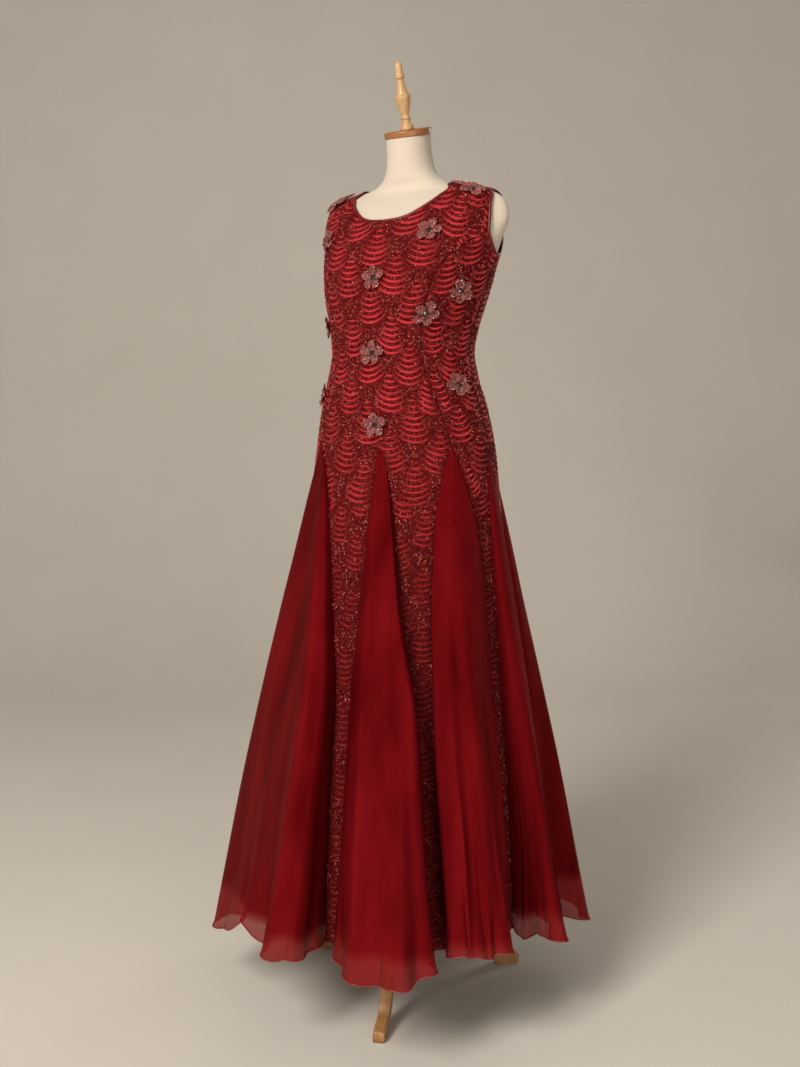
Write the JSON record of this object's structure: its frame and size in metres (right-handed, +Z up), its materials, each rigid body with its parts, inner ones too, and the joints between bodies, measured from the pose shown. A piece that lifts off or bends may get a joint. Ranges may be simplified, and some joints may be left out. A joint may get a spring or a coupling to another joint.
{
  "type": "net gown on a dress form",
  "caption": "Sleeveless floor-length gown of embroidered net with flared sheer godets and sewn-on flowers, on a limbless dress form with a wooden stand.",
  "frame": {"origin": "on the floor under the pole of the stand, at the centre of the part's footprint", "axes": "+Z up along the pole, -Y to the front of the gown, +X to the form's left side"},
  "size_m": [0.6455, 0.6937, 1.7512],
  "materials": {
    "embroidered_net": "dark red net over lining, covered in corded swags, beads and sequins",
    "organza_satin": "red organza over satin with a soft sheen",
    "satin_binding": "narrow dark satin binding",
    "beaded_petal": "dusty pink net petals covered in small beads",
    "dark_stone": "faceted and polished",
    "form_cover": "tight matt cream jersey",
    "turned_wood": "turned, clear satin varnish",
    "cap_wood": "stained, satin varnish",
    "leg_wood": "sawn and rounded, satin varnish"
  },
  "bodies": {
    "root": {"front_panel": "embroidered_net", "back_panel_left": "embroidered_net", "back_panel_right": "embroidered_net", "side_front_left": "embroidered_net", "side_front_right": "embroidered_net", "side_back_left": "embroidered_net", "side_back_right": "embroidered_net", "godet_1": "organza_satin", "godet_2": "organza_satin", "godet_3": "organza_satin", "godet_4": "organza_satin", "godet_5": "organza_satin", "godet_6": "organza_satin", "godet_7": "organza_satin", "godet_8": "organza_satin", "neck_binding": "satin_binding", "armhole_binding_left": "satin_binding", "armhole_binding_right": "satin_binding", "flower_01": "beaded_petal", "flower_02": "beaded_petal", "flower_03": "beaded_petal", "flower_04": "beaded_petal", "flower_05": "beaded_petal", "flower_06": "beaded_petal", "flower_07": "beaded_petal", "flower_08": "beaded_petal", "flower_09": "beaded_petal", "flower_10": "beaded_petal", "flower_11": "beaded_petal", "flower_12": "beaded_petal", "stone_01": "dark_stone", "stone_02": "dark_stone", "stone_03": "dark_stone", "stone_04": "dark_stone", "stone_05": "dark_stone", "stone_06": "dark_stone", "stone_07": "dark_stone", "stone_08": "dark_stone", "stone_09": "dark_stone", "stone_10": "dark_stone", "stone_11": "dark_stone", "stone_12": "dark_stone", "form_torso": "form_cover", "neck_cap": "cap_wood", "finial": "turned_wood", "pole": "leg_wood", "hub": "leg_wood", "leg_1": "leg_wood", "leg_2": "leg_wood", "leg_3": "leg_wood"}
  },
  "joints": []
}
